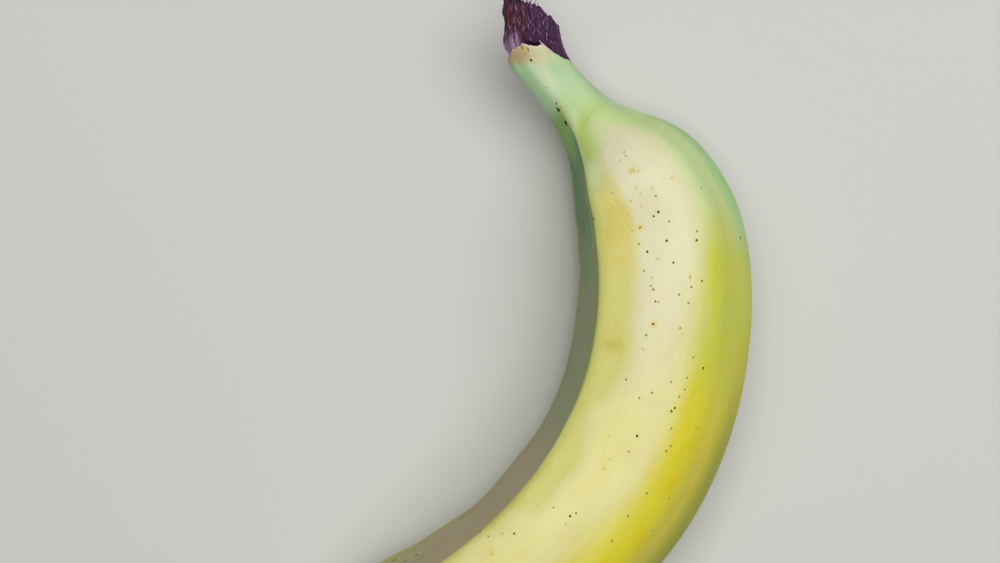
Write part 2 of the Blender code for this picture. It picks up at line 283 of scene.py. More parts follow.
class MiddleLine:
    """The bent line down the middle of the fruit. Distances start at the rim and are negative in the stub."""

    STEP = 0.1 * MM
    PAST_RIM = 18 * MM
    PAST_SCAR = 6 * MM

    def __init__(self):
        self.distance = np.arange(-self.PAST_RIM, LENGTH + self.PAST_SCAR, self.STEP)
        place = self.distance / LENGTH
        self.heading = np.radians(along_stations(HEADING, place))
        x = np.cumsum(np.sin(self.heading)) * self.STEP
        y = np.cumsum(-np.cos(self.heading)) * self.STEP
        self.x = x - np.interp(0, self.distance, x) + RIM_PLACE[0]
        self.y = y - np.interp(0, self.distance, y) + RIM_PLACE[1]
        below = np.interp(place, PLACES, RIDGES) * section_reach(270, place)
        self.z = along_stations(UNDERSIDE, place) * MM + below

    def at(self, distance):
        """The points on the line, and the level directions towards the outer side of the bend."""
        x, y, z, heading = (
            np.interp(distance, self.distance, values)
            for values in (self.x, self.y, self.z, self.heading)
        )
        outward = np.stack([np.cos(heading), np.sin(heading), 0 * heading], axis=-1)
        return np.stack([x, y, z], axis=-1), outward

    def skin_point(self, angle, distance, radius):
        """The places at these angles of the section, this far out from the line."""
        point, outward = self.at(distance)
        turn = np.radians(angle + along_stations(TWIST, distance / LENGTH))
        across = np.cos(turn)[..., None] * outward
        across[..., 2] = np.sin(turn)
        return point + radius[..., None] * across


LINE = MiddleLine()


def straightened(angle, distance, radius):
    """Where a point would be, in millimetres, if the fruit were straight and lay along X."""
    turn = np.radians(angle)
    return np.stack([distance, radius * np.cos(turn), radius * np.sin(turn)], axis=-1) / MM


def rim_line(angle):
    """How far along the middle line the torn rim lies, all round."""
    frayed = wavy(angle, [(7, 0.16, 2.6), (12, 0.13, 0.3), (23, 0.07, 0.8), (41, 0.05, 2.1), (67, 0.04, 4.4)])
    return (along_stations(RIM, angle % 360) + frayed) * MM


def past_rim(angle, distance):
    """Millimetres from the torn rim towards the stub's end."""
    return (rim_line(angle) - distance) / MM


def stub_end(angle):
    """Where the stub ends along the middle line, all round. It is past place 0, so it is negative."""
    slant = STUB_SLANT * np.cos(np.radians(angle - STUB_LONG_SIDE))
    cut = 0.5 * bump(angle, 54, 28) + 2.3 * bump(angle, 180, 66)
    ragged = wavy(angle, [(4, 0.25, 0.7), (9, 0.25, 3.9), (17, 0.2, 1.2), (31, 0.15, 5)])
    notched = 1.1 * bump(angle, 165, 60) * wavy(angle, [(11, 0.5, 0.6), (23, 0.5, 2.0)])
    return -(STUB_LENGTH + slant + (ragged - cut - notched) * MM)


def tube_mesh(name, rows, capped=False):
    """A mesh through rows of points, each row a closed loop. A cap closes the last row round a point."""
    count, around = rows.shape[:2]
    points = rows.reshape(-1, 3)
    near = np.arange(count - 1)[:, None] * around + np.arange(around)[None, :]
    beside = np.arange(count - 1)[:, None] * around + (np.arange(around) + 1)[None, :] % around
    faces = np.stack([near, beside, beside + around, near + around], axis=-1).reshape(-1, 4)
    faces = [tuple(face) for face in faces.tolist()]
    if capped:
        first, middle = (count - 1) * around, len(points)
        points = np.vstack([points, rows[-1].mean(axis=0)])
        faces += [(first + i, first + (i + 1) % around, middle) for i in range(around)]
    mesh = bpy.data.meshes.new(name)
    mesh.from_pydata(points.tolist(), [], faces)
    mesh.validate()
    mesh.shade_smooth()
    return mesh


def set_attribute(mesh, name, values, domain="POINT"):
    """Stores a number or a vector on each point or face, for the material to read."""
    values = np.asarray(values, np.float32)
    kind = "FLOAT_VECTOR" if values.ndim == 2 else "FLOAT"
    attribute = mesh.attributes.new(name, kind, domain)
    attribute.data.foreach_set("vector" if values.ndim == 2 else "value", values.ravel())


def set_capped_attribute(mesh, name, rows):
    """Stores the values of a capped tube's rows. Its cap's point takes the last one."""
    values = np.concatenate(rows)
    set_attribute(mesh, name, np.concatenate([values, values[-1:]]))


def laid_over(ground, *zones):
    """A colour for each point, from a ground colour and the (mask, colour) zones laid over it in turn."""
    shape = np.shape(zones[0][0])
    colour = np.broadcast_to(np.array(ground, float), (*shape, 3))
    for mask, over in zones:
        mask = np.clip(mask, 0, 1)[..., None]
        colour = colour * (1 - mask) + np.array(over, float) * mask
    return colour


def add_object(name, data):
    """Puts a mesh, a light or a camera in the scene."""
    made = bpy.data.objects.new(name, data)
    bpy.context.scene.collection.objects.link(made)
    return made


def place_piece(name, mesh, material):
    """Puts a mesh in the scene as a piece of the fruit."""
    piece = add_object(name, mesh)
    mesh.materials.append(material)
    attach(piece, BODY)
    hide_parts(NODE)


class Shading:
    """A material's node tree, with a short call for each kind of node that the fruit uses."""

    def __init__(self, name):
        self.material = bpy.data.materials.new(name)
        self.material.use_nodes = True
        self.nodes = self.material.node_tree.nodes
        self.links = self.material.node_tree.links
        self.shader = self.nodes["Principled BSDF"]

    def feed(self, socket, value):
        """Links a socket, or sets it where the value is a number or a colour."""
        if isinstance(value, bpy.types.NodeSocket):
            self.links.new(value, socket)
        elif isinstance(value, (int, float)):
            socket.default_value = value
        else:
            wanted = len(socket.default_value)
            socket.default_value = (*value, 1.0) if wanted == 4 and len(value) == 3 else value

    def node(self, kind, inputs=(), **settings):
        made = self.nodes.new(kind)
        for key, value in settings.items():
            setattr(made, key, value)
        for key, value in dict(inputs).items():
            self.feed(made.inputs[key], value)
        return made

    def attribute(self, name):
        return self.node("ShaderNodeAttribute", attribute_name=name)

    def parts(self, vector):
        return self.node("ShaderNodeSeparateXYZ", {0: vector}).outputs

    def math(self, operation, first, second=0.0, third=0.0):
        made = self.node("ShaderNodeMath", {0: first, 1: second, 2: third}, operation=operation)
        return made.outputs[0]

    def times(self, first, second):
        return self.math("MULTIPLY", first, second)

    def vector(self, operation, first, second):
        return self.node("ShaderNodeVectorMath", {0: first, 1: second}, operation=operation)

    def stretched(self, vector, factors):
        return self.vector("MULTIPLY", vector, factors).outputs[0]

    def noise(self, vector, scale, detail=3.0, roughness=0.55, distortion=0.0):
        inputs = {"Vector": vector, "Scale": scale, "Detail": detail}
        inputs.update({"Roughness": roughness, "Distortion": distortion})
        return self.node("ShaderNodeTexNoise", inputs).outputs[0]

    def step(self, value, low, high, least=0.0, most=1.0):
        inputs = {"Value": value, "From Min": low, "From Max": high, "To Min": least, "To Max": most}
        return self.node("ShaderNodeMapRange", inputs, interpolation_type="SMOOTHSTEP").outputs[0]

    def mix(self, factor, first, second, blend="MIX"):
        made = self.node("ShaderNodeMix", data_type="RGBA", blend_type=blend)
        for index, value in ((0, factor), (6, first), (7, second)):
            self.feed(made.inputs[index], value)
        return made.outputs[2]

    def shaded(self, colour, tint):
        """A colour made darker or lighter by a number round 1."""
        grey = self.node("ShaderNodeCombineColor", {0: tint, 1: tint, 2: tint}).outputs[0]
        return self.mix(1.0, colour, grey, "MULTIPLY")

    def toned(self, colour, hue, saturation, value):
        inputs = {"Hue": hue, "Saturation": saturation, "Value": value, "Color": colour}
        return self.node("ShaderNodeHueSaturation", inputs).outputs[0]

    def bump(self, height, distance, strength, normal=None):
        made = self.node("ShaderNodeBump", {"Strength": strength, "Distance": distance, "Height": height})
        if normal is not None:
            self.feed(made.inputs["Normal"], normal)
        return made.outputs[0]

    def finish(self, **inputs):
        for key, value in inputs.items():
            self.feed(self.shader.inputs[key.replace("_", " ")], value)
        return self.material


def colour_setting(name, description, default):
    return bpy.props.FloatVectorProperty(
        name=name, description=description, default=default, size=3, min=0, max=1, subtype="COLOR"
    )


def length_setting(name, description, default):
    return bpy.props.FloatProperty(
        name=name, description=description, default=default, min=0, subtype="DISTANCE", unit="LENGTH"
    )


def count_setting(name, description, default, least=0):
    return bpy.props.IntProperty(name=name, description=description, default=default, min=least)


def power_setting(name, description, default):
    return bpy.props.FloatProperty(name=name, description=description, default=default, unit="POWER")


class PeelSettings(bpy.types.PropertyGroup):
    """Sizes and colours of the peel."""

    rings: count_setting("Rings", "Rings of the peel's mesh along the fruit", 320, 20)
    points_round: count_setting("Points round", "Points in each ring of the peel", 280, 40)
    lumps: length_setting("Lumps", "How far the peel's broad unevenness rises and falls", 0.15 * MM)
    stalk_ribs: length_setting("Stalk ribs", "Depth of the soft lengthwise ribs of the stalk", 0.06 * MM)
    flare: length_setting("Flare", "How far the torn rim stands out inside the bend", 0.45 * MM)
    fold: length_setting("Fold", "Depth of the fold where the stalk meets the body", 0.16 * MM)
    hollow: length_setting("Hollow", "How far the lower inner side is drawn in, past the middle", 1.8 * MM)
    yellow: colour_setting("Yellow", "The ripe peel of the body", srgb(207, 204, 118))
    golden: colour_setting("Golden", "The outer side towards the blossom end", srgb(218, 207, 48))
    olive_yellow: colour_setting("Olive yellow", "The outer side's middle", srgb(199, 204, 72))
    # Painted shade: the outer edge towards the blossom end is darkened where that side turns away from the
    # light.
    olive_gold_shade: colour_setting("Olive gold", "The outer edge towards the blossom end", srgb(149, 157, 10))
    olive: colour_setting("Olive", "The underside", srgb(176, 180, 78))
    pale_green: colour_setting("Pale green", "The outer side of the shoulder", srgb(194, 217, 148))
    green: colour_setting("Green", "The shoulder's outer edge", srgb(156, 198, 132))
    # Partly the peel's own pale bloom and partly painted highlight: cream along the top, paler cream on the
    # shoulder, pale yellow towards the blossom end.
    cream_and_highlight: colour_setting("Cream", "The pale waxy bloom along the top", srgb(227, 222, 185))
    pale_cream_and_highlight: colour_setting("Pale cream", "The bloom on the shoulder", srgb(244, 240, 206))
    pale_yellow_and_highlight: colour_setting("Pale yellow", "The bloom towards the blossom end", srgb(228, 222, 146))
    shoulder: colour_setting("Shoulder", "The shoulder's side inside the bend", srgb(206, 218, 164))
    blush: colour_setting("Blush", "The orange patch near the stalk", srgb(217, 205, 118))
    # Painted highlight: a thin bright strip along the ridge inside the bend.
    ridge: colour_setting("Ridge", "The ridge inside the bend", srgb(218, 228, 130))
    # Painted shade: the side inside the bend and its margin by the ridge are darker and greyer than the
    # peel's own colour, for the shade that this side lies in.
    inner_shade_green: colour_setting("Inner side", "Inside the bend, near the stalk", srgb(90, 142, 82))
    inner_shade_grey: colour_setting("Inner side, middle", "Inside the bend, halfway", srgb(148, 161, 112))
    inner_shade_tan: colour_setting("Inner side, low", "Inside the bend, further down", srgb(176, 162, 122))
    inner_shade_margin: colour_setting("Inner margin", "Inside the bend, next to the ridge", srgb(152, 164, 48))
    stalk: colour_setting("Stalk", "The stalk's upper side", srgb(179, 206, 160))
    # Painted highlight on the stalk's top.
    stalk_highlight: colour_setting("Stalk, pale", "The stalk's pale top", srgb(214, 228, 194))
    stalk_inner: colour_setting("Stalk, inner", "The stalk's side inside the bend", srgb(192, 230, 180))
    stalk_low: colour_setting("Stalk, low", "The stalk's inner side, next to the body", srgb(138, 186, 96))
    lime: colour_setting("Lime", "The fold where the stalk meets the body", srgb(172, 193, 104))
    rim: colour_setting("Rim", "The pale peel behind the torn rim", srgb(208, 206, 164))
    bruise: colour_setting("Bruise", "The browned peel behind the torn rim", srgb(200, 174, 132))
    torn_edge: colour_setting("Torn edge", "The peel's flesh where it is torn", srgb(214, 200, 190))
    tip: colour_setting("Tip", "The peel next to the blossom scar", srgb(92, 80, 42))
    freckle: colour_setting("Freckle", "The darkest freckles", srgb(34, 24, 8))
    pale_freckle: colour_setting("Pale freckle", "The faintest freckles", srgb(168, 146, 62))
    halo: colour_setting("Halo", "The yellowed ring round a freckle", srgb(218, 202, 84))
    stain: colour_setting("Stain", "Soft olive stains on the body", srgb(184, 172, 62))
    scuff: colour_setting("Scuff", "Pale scuffs on the inner side", srgb(186, 180, 176))
    freckles: count_setting("Freckles", "Freckles strewn over the underside and the blossom half", 300)
    seed: count_setting("Seed", "Where the strewn freckles fall", 11)


class StubSettings(bpy.types.PropertyGroup):
    """Sizes and colours of the torn end of the stalk."""

    bundles: count_setting("Bundles", "Flat bundles of fibres that lie along the stub", 220)
    hairs: count_setting("Hairs", "Fine pale fibres on the stub", 420)
    spikes: count_setting("Spikes", "Torn fibres that stand past the stub's end", 120)
    furrow: length_setting("Furrow", "Depth of the furrows between bundles of fibres", 0.4 * MM)
    purple: colour_setting("Purple", "The torn fibres", srgb(68, 28, 66))
    violet: colour_setting("Violet", "The smooth torn face on the outer side", srgb(70, 36, 76))
    red_brown: colour_setting("Red-brown", "Fibres on the inner side", srgb(96, 46, 48))
    # Painted shade in the furrows, in the crack under the peel and at the stub's foot by the rim; also the
    # colour of the darkest torn fibres.
    dark: colour_setting("Dark", "The bottoms of the furrows", srgb(30, 16, 34))
    hair: colour_setting("Hair", "The fine pale fibres", srgb(110, 60, 96))
    pale_hair: colour_setting("Pale hair", "The palest fibres", srgb(184, 142, 180))
    lip: colour_setting("Lip", "The torn lip of peel at the stub's foot", srgb(210, 178, 216))
    tongue: colour_setting("Tongue", "The torn tongue of peel over the rim", srgb(226, 206, 204))
    seed: count_setting("Seed", "How the fibres are torn", 5)


class BlossomSettings(bpy.types.PropertyGroup):
    """Sizes and colours of the blossom end."""

    lobes: count_setting("Lobes", "Lobes of the dry scar", 6, 3)
    black: colour_setting("Black", "The dry scar", srgb(44, 34, 26))
    brown: colour_setting("Brown", "The scar's raised fibres", srgb(104, 84, 58))


class StageSettings(bpy.types.PropertyGroup):
    """The floor, the lights and the camera."""

    floor_size: length_setting("Floor", "Width of the floor", 6.0)
    floor: colour_setting("Floor colour", "The plain pale floor", (0.62, 0.62, 0.61))
    key_power: power_setting("Key light", "Power of the broad light overhead", 22.5)
    fill_power: power_setting("Fill light", "Power of the light from the outer side", 0.6)
    sky: bpy.props.FloatProperty(name="Sky", description="Strength of the light from all round", default=0.08)


def peel_grid(settings):
    """Angles, distances and radii of the peel's points, and each ring's distance if the rim were straight."""
    even = np.arange(settings.points_round) / settings.points_round * FACETS
    within = even % 1
    gathered = np.floor(even) + within - RIDGE_GATHERING * np.sin(2 * np.pi * within) / (2 * np.pi)
    angle = UPPER_INNER_RIDGE + FACET_TURN * gathered
    even = np.linspace(0, 1, settings.rings)
    closer_at_ends = even - END_GATHERING * np.sin(2 * np.pi * even)
    body = RIM_LIP_END + (LENGTH / MM - RIM_LIP_END) * closer_at_ends
    starts = [at for at, _ in RIM_LIP] + list(body) + [LENGTH / MM + at for at, _ in END_LIP]
    sunk = [depth for _, depth in RIM_LIP] + [0.0] * settings.rings + [depth for _, depth in END_LIP]
    starts, sunk = np.array(starts) * MM, np.array(sunk) * MM
    pulled = np.clip(1 - starts / RIM_PULL, 0, 1) ** 2
    distance = starts[:, None] + rim_line(angle)[None, :] * pulled[:, None]
    angle = np.broadcast_to(angle, distance.shape)
    return angle, distance, skin_radius(angle, distance) + sunk[:, None], starts


def peel_relief(settings, angle, distance, radius):
    """The peel's unevenness, in metres outwards."""
    here = straightened(angle, distance, radius)
    along = distance / MM
    lumps = ripple(here * (0.45, 1, 1), 16, 15, 3) * settings.lumps
    dents = ripple(here * (0.6, 1, 1), 12, 5, 4) * settings.lumps * 0.2
    stalk = 1 - step(along, 12, 36)
    ribs = ripple(here * (0.1, 1, 1), 14, 3.4, 8) * settings.stalk_ribs * stalk
    bend = along - 20 - 1.2 * ripple(here, 8, 12, 9)
    fold = -settings.fold * np.exp(-((bend / 2.2) ** 2)) * facing(angle, 95, 55, 25)
    flare = settings.flare * facing(angle, 190, 36, 22) * (1 - step(-past_rim(angle, distance), 0.8, 4.2))
    hollow = -settings.hollow * bump(angle, 200, 34) * reaching(along, 118, 150, 11, 8)
    return lumps + dents + ribs + fold + flare + hollow


def peel_colour(settings, angle, distance, radius, starts):
    """The peel's colour at each point, zone over zone, with painted shade inside the bend and along the outer
    edge, and painted highlight along the top, the ridge and the stalk. Sides are in degrees, and along is in
    mm.
    """
    here = straightened(angle, distance, radius)
    along = distance / MM + 1.6 * ripple(here, 14, 12, 61)
    side = away_from(angle, 90) + 90
    inner_side = away_from(angle, INNER_FACET) + INNER_FACET
    waved = side + 2.5 * ripple(here * (0.35, 1, 1), 14, 9, 62) + 2 * ripple(here, 12, 22, 64)
    patch = ripple(here * (0.5, 1, 1), 14, 7, 63)
    # The pale bloom along the top, partly painted highlight
    bloom_and_highlight = reaching(waved, along_stations(BLOOM_AND_HIGHLIGHT_OUTER, along), along_stations(BLOOM_AND_HIGHLIGHT_INNER, along), 18, 9)
    bloom_and_highlight = bloom_and_highlight * step(along, 20.5, 26)
    from_crease = along - 20.4 - 0.06 * (waved - 100)
    crease = np.exp(-((from_crease / 2.1) ** 2)) * (0.55 + 0.45 * step(waved, 92, 114))
    # Where the painted shade inside the bend lies
    inner = reaching(inner_side, 134.8, 202, 1.2, 9) * (1 - 0.8 * step(along, 140, 162))
    from_rim = np.broadcast_to((starts / MM)[:, None], angle.shape)
    browned = from_rim + 0.3 * patch + 1.4 * facing(angle, 200, 36, 14)
    torn = 1 - step(from_rim, 0.1, 0.3 + 0.5 * bump(angle, 93, 12))
    return laid_over(
        settings.yellow,
        (reaching(waved, -60, 64, 25, 14) * step(along, 40, 54), settings.olive_yellow),
        (reaching(waved, -30, 76, 18, 21) * step(along, 62, 88), settings.golden),
        # Painted shade along the outer edge towards the blossom end
        (reaching(waved, -90, 17, 30, 20) * step(along, 60, 94), settings.olive_gold_shade),
        (facing(angle, 278, 72, 22) * 0.85, settings.olive),
        (reaching(waved, -90, 80, 30, 14) * (1 - step(along, 38, 54)), settings.pale_green),
        (reaching(waved, -90, 13, 30, 12) * (1 - step(along, 34, 66)), settings.green),
        (1 - step(along, 22, 32), settings.pale_green),
        (bloom_and_highlight, settings.cream_and_highlight),
        (bloom_and_highlight * step(along, 60, 92), settings.pale_yellow_and_highlight),
        (bloom_and_highlight * reaching(waved, 80, 112, 12, 8) * reaching(along, 25, 34, 3, 4) * 0.6, settings.pale_cream_and_highlight),
        (reaching(waved, 120, 200, 7, 4) * (1 - step(along, 28, 38)), settings.shoulder),
        (np.exp(-(((along - 42.5) / 11) ** 2) - ((waved - 118) / 6) ** 2), settings.blush),
        # Painted highlight along the ridge inside the bend
        (reaching(side, 130.5, 140, 2.2, 4) * reaching(along, 25, 104, 3, 8) * 0.85, settings.ridge),
        # Painted shade inside the bend: green near the stalk, grey halfway, tan further down, and darker by
        # the ridge.
        (inner * step(along, 14, 20), settings.inner_shade_green),
        (inner * step(along, 32, 64), settings.inner_shade_grey),
        (inner * step(along, 86, 108), settings.inner_shade_tan),
        (inner * facing(angle, 137, 7, 4.5) * reaching(along, 27, 94, 7, 12) * 0.85, settings.inner_shade_margin),
        (1 - step(along, 15, 21.5), settings.stalk),
        # Painted highlight on the stalk's top
        (reaching(waved, 106, 140, 14, 6) * (1 - step(along, 6, 14)) * 0.9, settings.stalk_highlight),
        (reaching(inner_side, 137, 240, 2.5, 25) * (1 - step(along, 9, 15)), settings.stalk_inner),
        (reaching(inner_side, 136, 240, 2.5, 25) * reaching(along, 13, 20, 2.5, 2), settings.stalk_low),
        (reaching(along, 12, 20, 4, 2) * reaching(waved, 40, 132, 20, 5) * 0.3, settings.lime),
        (crease * reaching(waved, 64, 131, 16, 5), settings.lime),
        (reaching(waved, 82, 132, 9, 6) * (1 - step(from_rim, 1.5, 5)), settings.rim),
        (facing(angle, 168, 42, 6) * (1 - step(browned, 1.4, 3.2)), settings.bruise),
        (torn * (1 - 0.6 * facing(angle, 175, 45, 10)), settings.torn_edge),
        (step(along, 168, 180) * 0.8, settings.tip),
        (step(from_rim, 178.5, 181.5), settings.tip),
    )


def picture_place(points):
    """Where points in the scene fall in the picture, in pixels."""
    focal = CAMERA_RISE / PIXEL
    depth = CAMERA_RISE + MIDDLE_LEVEL - points[:, 2]
    x = PICTURE[0] / 2 + (points[:, 0] - CAMERA_OVER[0]) / depth * focal
    y = PICTURE[1] / 2 - (points[:, 1] - CAMERA_OVER[1]) / depth * focal
    return np.stack([x, y], axis=-1)


def seen_on_peel(pixels, shown):
    """The straightened places of marks that are given by their pixels, between the four nearest points."""
    in_picture, here = shown
    found = []
    for pixel in pixels:
        gap = np.linalg.norm(in_picture - pixel, axis=1)
        nearest = np.argsort(gap)[:4]
        weight = 1 / (gap[nearest] + 0.05)
        found.append((here[nearest] * weight[:, None]).sum(axis=0) / weight.sum())
    return found


def mark_list(settings, shown, strewn_over):
    """(place, radius, stretch, tone) of each mark, in millimetres. Tone is 1 for black and -1 for a scuff."""
    draw = np.random.default_rng(settings.seed)
    marks = []
    for pixels, radius, stretch, tone in MARK_KINDS:
        for place in seen_on_peel(pixels, shown):
            marks.append((place, radius * draw.uniform(0.9, 1.1), stretch, tone))
    for place in draw.choice(strewn_over, settings.freckles, replace=False):
        radius = 0.13 + 0.13 * draw.random() ** 2
        marks.append((place, radius, draw.uniform(1, 1.7), draw.uniform(0.2, 0.9)))
    return marks


def stained(settings, colour, shown, here):
    """The peel's colour with its soft stains and its yellowed spots laid over it."""
    for pixels, spread, strength, over in (
        (STAINS, 1.2, 0.5, settings.stain),
        (YELLOWED, 0.75, 0.75, settings.halo),
    ):
        for place in seen_on_peel(pixels, shown):
            gap = np.linalg.norm(here - place, axis=1)
            colour = laid_over(colour, (strength * np.exp(-((gap / spread) ** 2)), over))
    return colour


def mark_faces(mesh, here, marks):
    """Tells each face which mark lies nearest to it, so that the material can draw the mark."""
    count = len(mesh.polygons)
    corners = np.empty(count * 4, np.int32)
    mesh.polygons.foreach_get("vertices", corners)
    middle = here[corners.reshape(count, 4)].mean(axis=1)
    nearest = np.full(count, np.inf)
    place = np.full((count, 3), 1e4)  # out of reach, for faces with no mark
    form = np.tile((0.1, 1.0, 0.0), (count, 1))
    for where, radius, stretch, tone in marks:
        gap = np.linalg.norm((middle - where) / (stretch, 1, 1), axis=1) / radius
        widest = 5 + 1.2 / radius  # past the halo, so that a large face which the mark only touches has it
        mine = (gap < nearest) & (gap < widest)
        nearest[mine] = gap[mine]
        place[mine] = where
        form[mine] = (radius, stretch, tone)
    set_attribute(mesh, "mark_place", place, "FACE")
    set_attribute(mesh, "mark_form", form, "FACE")


def peel_material(settings):
    s = Shading("peel")
    here = s.attribute("peel").outputs["Vector"]
    colour = s.attribute("ground").outputs["Vector"]

    patches = s.noise(s.stretched(here, (0.14, 0.3, 0.3)), 1.0, 4.0, 0.6)
    streaks = s.noise(s.stretched(here, (0.12, 1.7, 1.7)), 1.0, 4.0, 0.6)
    grain = s.noise(here, 2.6, 3.0, 0.6)
    warmer, greener = s.toned(colour, 0.488, 1.12, 0.985), s.toned(colour, 0.512, 1.0, 0.985)
    colour = s.mix(s.step(patches, 0.50, 0.74, 0.0, 0.8), colour, warmer)
    colour = s.mix(s.step(patches, 0.50, 0.28, 0.0, 0.7), colour, greener)
    tint = s.times(s.step(streaks, 0.25, 0.75, 0.975, 1.02), s.step(grain, 0.3, 0.7, 0.98, 1.015))
    colour = s.shaded(colour, tint)

    mark_place = s.attribute("mark_place").outputs["Vector"]
    radius, stretch, tone = s.parts(s.attribute("mark_form").outputs["Vector"])
    gap = s.parts(s.vector("SUBTRACT", here, mark_place).outputs[0])
    gap = s.node("ShaderNodeCombineXYZ", {0: s.math("DIVIDE", gap[0], stretch), 1: gap[1], 2: gap[2]})
    gap = s.vector("LENGTH", gap.outputs[0], (0, 0, 0)).outputs["Value"]
    gap = s.math("DIVIDE", gap, radius)
    gap = s.math("ADD", gap, s.step(s.noise(here, 3.6, 2.0), 0.25, 0.75, -0.3, 0.3))
    dark = s.math("MAXIMUM", tone, 0.0)
    pale = s.math("MAXIMUM", s.times(tone, -1.0), 0.0)
    core = s.times(s.step(gap, 1.25, 0.75), s.step(dark, 0.0, 0.6))
    halo = s.times(s.step(gap, 3.4, 1.0), s.step(dark, 0.0, 0.8, 0.0, 0.22))
    scuffed = s.times(s.step(gap, 1.4, 0.3), s.times(pale, s.step(streaks, 0.35, 0.6)))
    colour = s.mix(halo, colour, settings.halo)
    colour = s.mix(core, colour, s.mix(s.step(dark, 0.25, 0.95), settings.pale_freckle, settings.freckle))
    colour = s.mix(scuffed, colour, settings.scuff)

    roughness = s.math("ADD", s.step(patches, 0.2, 0.8, 0.40, 0.50), s.times(core, 0.2))
    height = s.math("ADD", s.times(streaks, 0.6), s.times(grain, 0.25))
    height = s.math("SUBTRACT", height, s.times(core, 0.5))
    pores = s.noise(here, 7.0, 2.0)
    normal = s.bump(pores, 0.02 * MM, 0.4, s.bump(height, 0.05 * MM, 0.6))
    return s.finish(Base_Color=colour, Roughness=roughness, Specular_IOR_Level=WAX_SHEEN, Normal=normal)


class BANANA_OT_peel(bpy.types.Operator):
    """Build the banana's peel, from its torn rim to the blossom end"""

    bl_idname = "banana.peel"
    bl_label = "Peel"

    def execute(self, context):
        settings = context.scene.banana_peel
        angle, distance, radius, starts = peel_grid(settings)
        radius = radius + peel_relief(settings, angle, distance, radius)
        skin = LINE.skin_point(angle, distance, radius)
        skin[..., 2] = np.maximum(skin[..., 2], 0)
        mesh = tube_mesh("peel", skin)
        here = straightened(angle, distance, radius).reshape(-1, 3)
        set_attribute(mesh, "peel", here)
        normals = np.empty(len(mesh.vertices) * 3, np.float32)
        mesh.vertices.foreach_get("normal", normals)
        upward = normals[2::3]
        in_picture = picture_place(skin.reshape(-1, 3))
        shown = (in_picture[upward > 0.02], here[upward > 0.02])
        hidden = (in_picture[:, 1] > PICTURE[1] + PICTURE_MARGIN) | (upward < -0.1)
        on_body = (here[:, 0] > STREWN[0]) & (here[:, 0] < STREWN[1])
        mark_faces(mesh, here, mark_list(settings, shown, here[hidden & on_body]))
        colour = peel_colour(settings, angle, distance, radius, starts).reshape(-1, 3)
        set_attribute(mesh, "ground", stained(settings, colour, shown, here))
        place_piece("peel", mesh, peel_material(settings))
        return {"FINISHED"}


def fibre_place(angle, distance):
    """Straightened places on a plain round stub, for the grain of its fibres."""
    return straightened(angle, distance, np.full_like(angle, STUB_RADIUS))


def fibre_crest(angle, distance):
    """Furrows between the bundles of fibres, from -1 in a furrow to 1 on a crest."""
    here = fibre_place(angle, distance)
    drift = 1.6 * ripple(here * (0.25, 1, 1), 8, 5, 21)
    coarse = np.cos(np.radians(angle * 13) + drift)
    fine = np.cos(np.radians(angle * 29) + 2 * drift + 1.3)
    finest = np.cos(np.radians(angle * 61) + 3 * drift + 4.1)
    return (coarse + 0.6 * fine + 0.3 * finest) / 1.9


def smooth_face(angle):
    """1 where the stub is torn smooth, on the outer side above the deepest tear."""
    return facing(angle, 42, 30, 14)


def stub_lip(angle, distance):
    """1 on the pale lip that curls out at the stub's foot inside the bend."""
    return facing(angle, 208, 26, 20) * (1 - step(past_rim(angle, distance), 2.0, 4.4))


def stub_radius(settings, angle, distance):
    """The stub's surface: under the peel, but nearly level with it at the deepest tear."""
    past = -distance / MM
    swell = sum(height * MM * np.exp(-(((past - at) / spread) ** 2)) for at, spread, height in STUB_SWELLS)
    under = PEEL_STEP * (1 - 0.8 * bump(angle, DEEP_TEAR, 50))
    crack = facing(angle, CRACK_SIDE, 14, 4) * (1 - step(past_rim(angle, distance), 0.35, 0.75))
    calm = 1 - 0.9 * np.maximum(smooth_face(angle), stub_lip(angle, distance))
    furrows = 0.5 * settings.furrow * fibre_crest(angle, distance) * calm
    surface = skin_radius(angle, distance) - under + swell * bump(angle, STUB_INSIDE, 50)
    return surface + furrows - CRACK_DEPTH * crack


def stub_colour(settings, angle, distance):
    """The stub's colour at each point, zone over zone, with painted shade in its furrows, its crack and its
    foot by the rim.
    """
    here = fibre_place(angle, distance)
    past = -distance / MM + 0.5 * ripple(here, 10, 3, 71)
    side = angle + 7 * ripple(here * (0.4, 1, 1), 10, 3, 72)
    from_rim = past_rim(angle, distance)
    crest = fibre_crest(angle, distance)
    return laid_over(
        settings.purple,
        (facing(side, 150, 32, 16) * facing(past, 6.5, 3.2, 1.5), settings.red_brown),
        (facing(side, 55, 52, 22) * 0.9, settings.violet),
        # Painted shade in the furrows between bundles of fibres
        (step(crest, -0.1, -0.8) * (1 - smooth_face(angle)) * 0.7, settings.dark),
        (stub_lip(side, distance), settings.lip),
        (facing(side, 165, 24, 12) * (1 - step(from_rim, 1.5, 4)) * 0.5, settings.lip),
        # Painted shadow in the crack under the peel, and painted shade at the stub's foot by the rim
        (facing(angle, CRACK_SIDE, 15, 4) * (1 - step(from_rim, 0.4, 0.8)), settings.dark),
        (facing(angle, 62, 22, 8) * (1 - step(from_rim, 0.5, 1.5)) * 0.8, settings.dark),
    )


